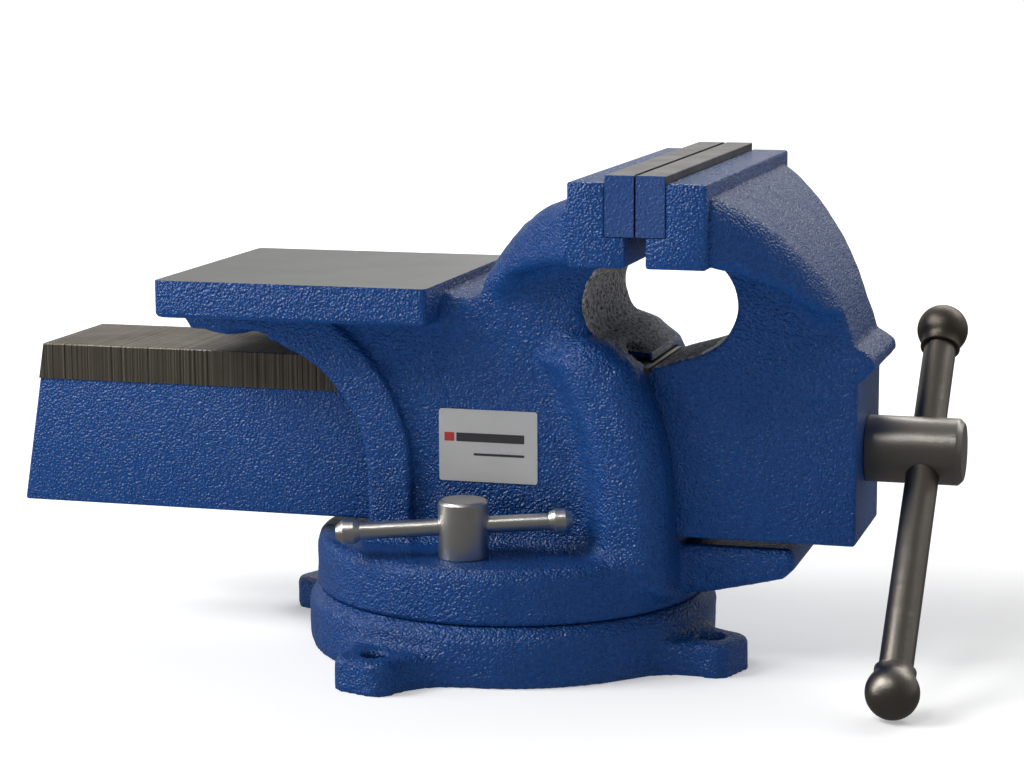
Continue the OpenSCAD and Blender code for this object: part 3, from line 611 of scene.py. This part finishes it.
block_section = [(43.9, 149.8), (63.9, 149.8), (63.9, 160.5), (57, 160.5), (57, 178.7),
                 (43.9, 178.7)]
fixed_block = edges_eased(drawn_solid("fixed_block", [[(a, -jaw_half, b) for a, b in block_section],
                                                      [(a, jaw_half, b) for a, b in block_section]],
                                      blue_paint, "body", "vise_body"), 0.9)
for y_place in (-plate_screw_y, plate_screw_y):
    drilled(fixed_block, 4.02, (45.5, y_place, plate_screw_z), (1, 0, 0), 20)
anvil_slab = drawn_solid("anvil_slab", [
    [(a, b, h) for a, b in tile(-117.3 + inset, -13.5 - inset, -52.9 + inset, 52.9 - inset, 2.2)]
    for h, inset in ((123.8, 1.5), (124.2, 0.6), (125.3, 0), (137.2, 0), (137.5, 0.15))],
    blue_paint, "body", "vise_body")
anvil_slab.data.materials.append(anvil_metal)
anvil_slab.data.polygons[1].material_index = 1
anvil_slab.data.shade_smooth()
anvil_slab.data.set_sharp_from_angle(angle=math.radians(28))


# --- Moving jaw ---------------------------------------------------------------------
# The sliding box and the front jaw are one grey-iron casting, sprayed blue like the body.
# The top of the box and a strip down each side are milled to run in the body's window.
front_x, box_top, cast_y, seat_x = 135.9, 108.4, 26.6, 78.0
slide_box = edges_eased(drawn_solid("slide_box", [
    [(front if end else -174.5 - (box_top - h) * 10 / 61, w, h)
     for w, h in ((-cast_y, 47.4), (-cast_y, box_top - 0.8), (cast_y, box_top - 0.8), (cast_y, 47.4))]
    for end, front in ((False, 0), (True, front_x))], blue_paint, "slide",
    "moving_jaw"), 1.3, 3)
cut_away(slide_box, drawn_solid("channel", [[(a, w, h) for w, h in tile(-19, 19, 30, 96, 3)]
                                            for a in (-200, 118)], blue_paint, "slide"))
drilled(slide_box, 10.08, (110, 0, 78.35), (1, 0, 0), 40, 72)

jaw_step = 0.95
x, y, z = jaw_axes = casting_axes((58, slide_low.y, 96), slide_high, jaw_step)
x, side = x + set_back.x, np.abs(y)
nose = [(135.9, 98.4), (135.9, 106.1), (137.9, 106.8), (141.9, 111.4), (141.5, 114.4), (138.5, 116.8)]
web_side = outline(x, z, nose + bow((50.2, 97.8), 87.1, 14, 61, 14)
                   + [(seat_x + 0.7, 170.7), (seat_x + 0.7, 150.3), (86.9, 149.6)]
                   + bow((74.5, 131.5), 18.5, 52, -70, 16) + [(62, 108.3), (62, 98.4)])
web = shared(1.6, web_side, side - 26.8)
inner_web = shared(1.6, web_side + 6, side - 26.8)
arm_plan = [(78, 73), (93, 71), (109, 57), (121, 44), (130, 32), (152, 0)]
arm = shared(5, outline(x, z, bow((50.2, 97.8), 87.1, 22, 61) + [(79, 170.7), (79, 150)]
                        + bow((70.5, 80), 73.2, 73, 44, 8)),
             outline(x, y, arm_plan + [(px, -py) for px, py in arm_plan[-2::-1]]))
jaw_form = np.minimum(web, joined(8, inner_web, arm))
screw_way = np.maximum(np.hypot(side - plate_screw_y, z - plate_screw_z) - 4.02, between(x, 77, 89.5))
jaw_form = np.maximum(jaw_form, -screw_way)


def jaw_keep(p):
    """How uneven the casting is at each point: nothing where it meets the block and the slide."""
    px, py, pz = (p + list(set_back)).T
    return np.where((pz > 147) & (px < seat_x + 2) | (pz < 108.6) & (px < 130), 0.0, 1.0)


jaw_casting = cast_mesh("moving_jaw_casting", jaw_form, jaw_axes, jaw_step, 0.13, jaw_keep)
jaw_casting.data.materials.append(web_paint)
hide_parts("moving_jaw")
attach(jaw_casting, "slide")
block_section = [(78, 160.5), (71.1, 160.5), (71.1, 149.8), (92, 149.8), (92, 178.7), (78, 178.7)]
moving_block = edges_eased(drawn_solid("moving_block", [[(a, -jaw_half, b) for a, b in block_section],
                                                        [(a, jaw_half, b) for a, b in block_section]],
                                       blue_paint, "slide", "moving_jaw"), 0.9)
for y_place in (-plate_screw_y, plate_screw_y):
    drilled(moving_block, 4.02, (70, y_place, plate_screw_z), (1, 0, 0), 19.5)


way_metal = metal_material("milled_ways", (0.2, 0.175, 0.145), 0.48, (1, 0, 0), 3.4, 200, 1.1)
way_section = [(-27, 95), (-27, 108), (-26.6, 108.4), (26.6, 108.4), (27, 108), (27, 95),
               (26.5, 95), (26.5, 107.6), (-26.5, 107.6), (-26.5, 95)]
drawn_solid("slide_ways", [[(-174.5 - (box_top - h) * 10 / 61, w, h) for w, h in way_section],
                           [(61.5, w, h) for w, h in way_section]], way_metal, "slide")


# --- Jaw plates ---------------------------------------------------------------------
# Two hardened steel plates, ground on top and cut with crossed teeth on the gripping face.
# They were screwed on before the vise was sprayed, so their ends are blue.
tooth_pitch, tooth_depth, land = 2.35, 0.5, 2.2
teeth, teeth_in, teeth_out = new_group(
    "crossed_teeth", [("Length", 0.15), ("Height", 0.0207), ("Pitch", tooth_pitch * mm),
                      ("Depth", tooth_depth * mm), ("Hole Spread", plate_screw_y * mm),
                      ("Hole Radius", 0.0078)],
    [("Geometry", "NodeSocketGeometry")], "GeometryNodeTree")
teeth.interface.new_socket("Metal", in_out="INPUT", socket_type="NodeSocketMaterial")
pitch = teeth_in.outputs["Pitch"]
tooth_rows = teeth.nodes.new("GeometryNodeMeshGrid")


def whole_count(socket):
    """How many rows a pitch apart fit in a length, and how far it is from first to last."""
    count = math_node(teeth, "FLOOR", math_node(teeth, "DIVIDE", teeth_in.outputs[socket], pitch))
    return count, math_node(teeth, "MULTIPLY", math_node(teeth, "SUBTRACT", count, 1.0), pitch)


def sent_out(tree, shape, group_in, group_out):
    """The shape made one real mesh in the group's metal, at the group's output."""
    real = new_node(tree, "GeometryNodeRealizeInstances", Geometry=shape)
    coated = new_node(tree, "GeometryNodeSetMaterial", Geometry=real.outputs[0],
                      Material=group_in.outputs["Metal"])
    tree.links.new(coated.outputs[0], group_out.inputs[0])


for label, size_socket, count_socket in (("Length", "Size X", "Vertices X"),
                                         ("Height", "Size Y", "Vertices Y")):
    count, reach = whole_count(label)
    teeth.links.new(count, tooth_rows.inputs[count_socket])
    teeth.links.new(reach, tooth_rows.inputs[size_socket])
tooth = new_node(teeth, "GeometryNodeMeshCone", Vertices=4, Radius_Top=0.0002,
                 Radius_Bottom=math_node(teeth, "MULTIPLY", pitch, 0.5),
                 Depth=teeth_in.outputs["Depth"])
tooth.fill_type = "NGON"
# no teeth where the two screws go
tooth_place = new_node(teeth, "ShaderNodeSeparateXYZ",
                       Vector=teeth.nodes.new("GeometryNodeInputPosition").outputs[0])
past_hole = math_node(teeth, "SUBTRACT", math_node(teeth, "ABSOLUTE", tooth_place.outputs["X"]),
                      teeth_in.outputs["Hole Spread"])
from_hole = math_node(teeth, "SQRT", math_node(teeth, "ADD", math_node(
    teeth, "MULTIPLY", past_hole, past_hole), math_node(
    teeth, "MULTIPLY", tooth_place.outputs["Y"], tooth_place.outputs["Y"])))
toothed = new_node(teeth, "GeometryNodeInstanceOnPoints", Points=tooth_rows.outputs["Mesh"],
                   Instance=tooth.outputs["Mesh"],
                   Selection=math_node(teeth, "GREATER_THAN", from_hole,
                                       teeth_in.outputs["Hole Radius"]))
sent_out(teeth, toothed.outputs[0], teeth_in, teeth_out)


def made_by(name, group, material, body, slot, place, **inputs):
    """A piece built by a node group, made plain mesh and put in its place."""
    piece = new_object(name, bpy.data.meshes.new(name))
    build = piece.modifiers.new("build", "NODES")
    build.node_group = group
    for socket in group.interface.items_tree:
        if socket.in_out == "INPUT" and socket.name in inputs:
            build[socket.identifier] = inputs[socket.name]
        elif socket.in_out == "INPUT" and socket.name == "Metal":
            build[socket.identifier] = material
    mesh = baked(piece)
    mesh.transform(place)
    faced_out(mesh)
    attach(piece, body)
    return piece


plate_steel = metal_material("plate_steel", (0.125, 0.12, 0.112), 0.42, (0, 1, 0), 0.5, 900, 0.9)
plate_tree = plate_steel.node_tree
plate_shader = plate_tree.nodes["Principled BSDF"]
plate_y = new_node(plate_tree, "ShaderNodeSeparateXYZ",
                   Vector=plate_tree.nodes.new("ShaderNodeTexCoord").outputs["Object"])
plate_end = math_node(plate_tree, "GREATER_THAN", math_node(plate_tree, "ABSOLUTE",
                                                            plate_y.outputs["Y"]), 0.0748)
plate_colour = plate_tree.nodes.new("ShaderNodeMix")
plate_colour.data_type = "RGBA"
plate_colour.inputs[7].default_value = (0.009, 0.053, 0.21, 1)
plate_tree.links.new(plate_end, plate_colour.inputs[0])
plate_tree.links.new(plate_shader.inputs["Base Color"].links[0].from_socket, plate_colour.inputs[6])
plate_tree.links.new(plate_colour.outputs[2], plate_shader.inputs["Base Color"])
plate_tree.links.new(math_node(plate_tree, "SUBTRACT", 1.0, plate_end), plate_shader.inputs["Metallic"])
plate_peel = plate_tree.nodes.new("ShaderNodeGroup")
plate_peel.node_tree = hammer
plate_bump = new_node(plate_tree, "ShaderNodeBump", Strength=1.0, Distance=0.00035,
                      Height=math_node(plate_tree, "MULTIPLY", plate_end,
                                       plate_peel.outputs["Height"]),
                      Normal=plate_shader.inputs["Normal"].links[0].from_socket)
plate_tree.links.new(plate_bump.outputs["Normal"], plate_shader.inputs["Normal"])
screw_black = metal_material("black_steel", (0.05, 0.05, 0.055), 0.4, (0, 0, 1), 0.3, 900, 0.5)
for label, body_name, seat, towards in (("fixed", "body", 57.0, 1), ("moving", "slide", 78.0, -1)):
    face_x, tip_x = seat + towards * (10.2 - tooth_depth), seat + towards * 10.2
    sections = [[(depth, a * (jaw_half - inset), plate_screw_z + b * (10.35 - inset))
                 for a, b in ((-1, -1), (1, -1), (1, 1), (-1, 1))]
                for depth, inset in ((seat, 0.25), (seat + towards * 0.25, 0),
                                     (tip_x - towards * 0.2, 0), (tip_x, 0.2))]
    plate = drawn_solid(f"plate_{label}", sections, plate_steel, body_name,
                        f"jaw_plate_{label}")
    cut_away(plate, drawn_solid("tooth_room", [[(depth, a * (jaw_half - land), plate_screw_z + b * 12)
                                                for a, b in ((-1, -1), (1, -1), (1, 1), (-1, 1))]
                                               for depth in (face_x, tip_x + towards)],
                                plate_steel, body_name))
    made_by(f"teeth_{label}", teeth, plate_steel, body_name, "jaw_plate_steel",
            aimed((face_x, 0, plate_screw_z), (towards, 0, 0)), Length=0.1465, Height=0.0207)
    for number, y_place in (("near", -plate_screw_y), ("far", plate_screw_y)):
        drilled(plate, 6.7, (seat + towards * 3.4, y_place, plate_screw_z), (towards, 0, 0), 9)
        drilled(plate, 4.2, (seat - towards, y_place, plate_screw_z), (towards, 0, 0), 9)
        screw = turned(f"plate_screw_{label}_{number}", [
            (0, -10.5), (3.4, -10.5), (4, -9.9), (4, 3.4), (6.1, 3.4), (6.4, 3.7), (6.4, 9.0),
            (6.0, 9.4), (3.7, 9.4), (3.2, 9.1, 6), (3.2, 6.2, 6), (0, 5.6)],
            aimed((seat, y_place, plate_screw_z), (towards, 0, 0)), screw_black, body_name,
            48)
        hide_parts(f"jaw_plate_screws_{label}")


# --- Lead screw ---------------------------------------------------------------------
# A square-threaded steel spindle, turned from bar, with a drilled round head that takes the
# handle. The thread is cut right-handed with a 5 mm lead and carries a thin film of oil.
axis_z, lead, thread_length = 78.35, 5.0, 238
turned_metal = metal_material("turned_head", (0.32, 0.295, 0.27), 0.36, (1, 0, 0), 0.5, 1500, 0.5)
coil, coil_in, coil_out = new_group(
    "wound_coil", [("Radius", 0.009), ("Length", 0.1), ("Turns", 20.0), ("Foot", 0.0026),
                   ("Crest", 0.0022), ("Depth", 0.002), ("Wire", 0.0)],
    [("Geometry", "NodeSocketGeometry")], "GeometryNodeTree")
coil.interface.new_socket("Metal", in_out="INPUT", socket_type="NodeSocketMaterial")
helix = new_node(coil, "GeometryNodeCurveSpiral", Resolution=36, Height=coil_in.outputs["Length"],
                 Start_Radius=coil_in.outputs["Radius"], End_Radius=coil_in.outputs["Radius"],
                 Rotations=coil_in.outputs["Turns"])
upright = new_node(coil, "GeometryNodeSetCurveNormal", Curve=helix.outputs[0])
upright.mode = "Z_UP"
ridge = coil.nodes.new("GeometryNodeCurvePrimitiveQuadrilateral")
ridge.mode = "TRAPEZOID"
ridge.inputs["Offset"].default_value = 0
for label, socket in (("Foot", "Bottom Width"), ("Crest", "Top Width"), ("Depth", "Height")):
    coil.links.new(coil_in.outputs[label], ridge.inputs[socket])
wire = new_node(coil, "GeometryNodeCurvePrimitiveCircle", Resolution=12,
                Radius=coil_in.outputs["Wire"])
round_wire = coil.nodes.new("FunctionNodeCompare")
round_wire.operation = "GREATER_THAN"
coil.links.new(coil_in.outputs["Wire"], round_wire.inputs[0])
chosen = coil.nodes.new("GeometryNodeSwitch")
chosen.input_type = "GEOMETRY"
coil.links.new(round_wire.outputs[0], chosen.inputs["Switch"])
coil.links.new(ridge.outputs[0], chosen.inputs["False"])
coil.links.new(wire.outputs[0], chosen.inputs["True"])
swept = new_node(coil, "GeometryNodeCurveToMesh", Curve=upright.outputs[0],
                 Profile_Curve=chosen.outputs[0], Fill_Caps=True)
sent_out(coil, swept.outputs[0], coil_in, coil_out)

handle_x, lean = 156.7, math.radians(47.4)
handle_way = Vector((0, math.sin(lean), math.cos(lean)))
head = turned("screw_head", eased([(0, -165), (7.4, -165), (8.05, -164.2), (8.05, 78), (9.9, 80),
                                   (9.98, 116), (9.98, 134), (9.98, 135.9), (12, 135.9), (12, 168.6),
                                   (10.2, 170.4), (0, 170.4)], 0.5),
              aimed((0, 0, axis_z), (1, 0, 0)), turned_metal, "screw")
drilled(head, 6.0, Vector((handle_x, 0, axis_z)) - handle_way * 20, handle_way, 40)
drilled(head, 1.62, (86.8, 0, axis_z - 16), (0, 0, 1), 32, 24)
thread = made_by("screw_thread", coil, turned_metal, "screw", "turned_steel",
                 aimed((-162, 0, axis_z), (1, 0, 0)), Radius=0.009,
                 Length=thread_length * mm, Turns=thread_length / lead)
for piece in (head, thread):
    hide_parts("lead_screw")


# --- Handle -------------------------------------------------------------------------
# A drawn steel bar that slides in the screw's head, with a turned ball pressed on each end.
# The balls' collars bear on the head at the end of its travel, and each ball has a small flat.
bar_metal = metal_material("turned_bar", (0.21, 0.19, 0.165), 0.33, tuple(handle_way), 0.5, 1200, 0.6)
# painted shade: the upper ball gets a darker, rougher copy of the bar's steel so that it reads as lying
# in shade
ball_metal_and_shade = {"lower": bar_metal, "upper": metal_material(
    "shaded_upper_ball", (0.12, 0.104, 0.086), 0.42, tuple(handle_way), 0.5, 1200, 0.6)}
centre = Vector((handle_x, 0, axis_z))
up_end, down_end = 55.7, 101.4
bar = turned("handle_rod", [(0, 2.5 - down_end), (5.5, 2.5 - down_end), (5.9, 2.9 - down_end),
                            (5.9, up_end - 2.9), (5.5, up_end - 2.5), (0, up_end - 2.5)],
             aimed(centre, handle_way), bar_metal, "handle")
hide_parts("handle_bar")
for label, reach, way in (("upper", up_end, handle_way), ("lower", down_end, -handle_way)):
    ball = [(9.3 * math.sin(a), -9.3 * math.cos(a)) for a in np.radians(np.linspace(50, 160, 19))]
    ball = [(r, h) for r, h in ball if h < 8.7]
    knob = turned(f"knob_{label}", [(0, -2.4), (5.95, -2.4), (5.95, -9.0), (6.9, -9.0), (7.2, -8.7),
                                    (7.2, -6.2)] + ball[1:] + [(3.2, 8.72), (2.6, 8.8), (0, 8.8)],
                  aimed(centre + way * reach, way), ball_metal_and_shade[label], "handle", 72)
    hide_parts(f"handle_knob_{label}")


# --- Nut, spring and pin ------------------------------------------------------------
# The iron nut sits in the slide's channel, bolted up through the body's floor. A coil spring
# and washer behind the front wall, held by a pin, draw the jaw out as the screw is undone.
iron_metal = metal_material("nut_iron", (0.2, 0.195, 0.185), 0.5, (1, 0, 0), 0.4, 500, 0.7)
nut_section = [(-16, 47.1), (-17, 48.1), (-17, 93), (-16, 94), (16, 94), (17, 93), (17, 48.1),
               (16, 47.1)]
nut = drawn_solid("screw_nut", [[(-22, w, h) for w, h in nut_section],
                                [(22, w, h) for w, h in nut_section]],
                  iron_metal, "body", "main_nut")
drilled(nut, 10.08, (-30, 0, axis_z), (1, 0, 0), 60, 72)
drilled(nut, 6.02, (0, 0, 46), (0, 0, 1), 16, 48)
floor_bolt = turned("floor_bolt", [(0, 15.2), (10.2, 15.2), (11, 15.8, 6), (11, 22.0, 6), (10.2, 22.7),
                                   (6, 22.7), (6, 60.9), (5.4, 61.3), (0, 61.3)],
                    aimed((0, 0, 0), (0, 0, 1)), screw_black, "body", 48)
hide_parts("nut_bolt")
floor_washer = turned("floor_washer", [(6.3, 22.75), (12.1, 22.75), (12.4, 23.0), (12.4, 24.4),
                                       (12.1, 24.7), (6.3, 24.7)],
                      aimed((0, 0, 0), (0, 0, 1)), iron_metal, "body", 48, True)
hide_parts("nut_washer")
spring = made_by("pull_spring", coil, screw_black, "screw", "black_steel",
                 aimed((91.8, 0, axis_z), (1, 0, 0)), Radius=0.0122, Length=0.0248, Turns=7.0,
                 Wire=0.0013)
spring.data.shade_smooth()
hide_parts("return_spring")
satin_metal = metal_material("satin_steel", (0.56, 0.54, 0.5), 0.3, (0, 0, 1), 0.35, 1500, 0.3)
stop = turned("spring_stop", [(10.08, 88.4), (14.2, 88.4), (14.5, 88.7), (14.5, 90.1), (14.2, 90.4),
                              (10.08, 90.4)], aimed((0, 0, axis_z), (1, 0, 0)), satin_metal,
              "screw", 48, True)
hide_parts("spring_washer")
pin = turned("cross_pin", [(0, -13), (1.3, -13), (1.6, -12.6), (1.6, 13), (0, 13)],
             aimed((86.8, 0, axis_z), (0, 0, 1)), satin_metal, "screw", 24)
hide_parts("split_pin")
eye = turned("pin_eye", [(0, -1.6), (2.1, -1.6), (2.4, -1.3), (2.4, 1.3), (2.1, 1.6), (0, 1.6)],
             aimed((86.8, 0, axis_z + 13), (1, 0, 0)), satin_metal, "screw", 24)
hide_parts("split_pin")


# --- Swivel locks -------------------------------------------------------------------
# A bright round-headed bolt at each side clamps the turntable through a nut in the base's
# groove. Each is turned by a loose cross bar with a knob, turned with two cones, on each end.
lock_metal = metal_material("lock_steel", (0.66, 0.64, 0.6), 0.33, (0, 0, 1), 0.4, 1600, 0.4)
for label, flip in (("left", -1), ("right", 1)):
    turn, slope = math.radians(16.5), math.radians(2.7)
    bar_way = Vector((math.cos(turn) * math.cos(slope), -flip * math.sin(turn) * math.cos(slope),
                      math.sin(slope)))
    bolt = turned(f"lock_head_{label}", eased([
        (0, 6), (5, 6), (5.5, 6.5), (5.5, 42), (9, 42), (9, 61.8), (8, 62.8), (0, 62.8)], 0.4),
        aimed((0, flip * lock_y, 0), (0, 0, 1)), lock_metal, f"lock_{label}")
    middle = Vector((0, flip * lock_y, 53.2))
    drilled(bolt, 3.2, middle - bar_way * 14, bar_way, 28, 32)
    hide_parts(f"lock_bolt_{label}")
    rod_metal = metal_material(f"lock_rod_{label}", (0.7, 0.68, 0.64), 0.3, tuple(bar_way), 0.4, 1500,
                               0.3)
    rod = turned(f"lock_rod_{label}", [(0, -41.2), (2.8, -41.2), (3.1, -40.9), (3.1, 34.5),
                                       (2.8, 34.8), (0, 34.8)], aimed(middle, bar_way), rod_metal,
                 f"lock_handle_{label}", 40)
    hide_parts(f"lock_bar_{label}")
    for number, reach, way in (("outer", 41.2, -bar_way), ("inner", 34.8, bar_way)):
        tip = turned(f"lock_tip_{label}_{number}", [
            (0, 0.1), (3.12, 0.1), (3.12, -4.3), (3.3, -4.3), (4.42, -2.3), (4.5, -2.1), (4.5, 1.6),
            (4.42, 1.8), (2.5, 4.2), (2.3, 4.3), (0, 4.3)], aimed(middle + way * reach, way), rod_metal,
            f"lock_handle_{label}", 40, crease=16)
        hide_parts(f"lock_bar_knobs_{label}")
    nut_plan = [(-11, -9), (-10, -10), (10, -10), (11, -9), (11, 9), (10, 10), (-10, 10), (-11, 9)]
    groove_nut = drawn_solid(f"groove_nut_{label}", [
        [(a, flip * lock_y + b, 5.3) for a, b in nut_plan],
        [(a, flip * lock_y + b, 12.9) for a, b in nut_plan]], screw_black, "body",
        f"clamp_nut_{label}")
    drilled(groove_nut, 5.52, (0, flip * lock_y, 0), (0, 0, 1), 20, 40)


# --- Label --------------------------------------------------------------------------
# A silver foil sticker with rounded corners on the body's near wall. It is left generic: a
# red mark, a dark bar and a thin line stand where a maker would print.
foil, foil_tree, foil_shader = new_material("label_foil")
foil_grain = new_node(foil_tree, "ShaderNodeTexNoise", Scale=60, Detail=4.0,
                      Vector=foil_tree.nodes.new("ShaderNodeTexCoord").outputs["Object"])
foil_tree.links.new(tone_ramp(foil_tree, foil_grain.outputs["Fac"], (0, (0.34, 0.34, 0.345)),
                              (1, (0.46, 0.46, 0.46))), foil_shader.inputs["Base Color"])
foil_shader.inputs["Roughness"].default_value = 0.45
label_low, label_high = (corner / mm + set_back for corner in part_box("nameplate"))
label_plan = tile(label_low.x, label_high.x, label_low.z, label_high.z, 1.0)
drawn_solid("label_sheet", [[(a, label_high.y, b) for a, b in label_plan],
                            [(a, label_low.y + 0.06, b) for a, b in label_plan]],
            foil, "body", "nameplate")
ink = metal_material("label_ink", (0.03, 0.03, 0.035), 0.5, (0, 0, 1), 0.1, 400, 0.4)
red_ink = metal_material("label_red", (0.4, 0.02, 0.02), 0.5, (0, 0, 1), 0.1, 400, 0.4)
for colour in (ink, red_ink):
    colour.node_tree.nodes["Principled BSDF"].inputs["Metallic"].default_value = 0
for name, colour, span in (("label_bar", ink, (-8.0, 17.5, 80.2, 83.4)),
                           ("label_mark", red_ink, (-12.5, -8.8, 80.2, 83.4)),
                           ("label_line", ink, (-1.5, 17.5, 75.2, 76.1))):
    bar_plan = tile(*span, 0.25)
    stripe = drawn_solid(name, [[(a, label_low.y + 0.1, b) for a, b in bar_plan],
                                [(a, label_low.y, b) for a, b in bar_plan]],
                         colour, "body")
    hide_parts("nameplate")
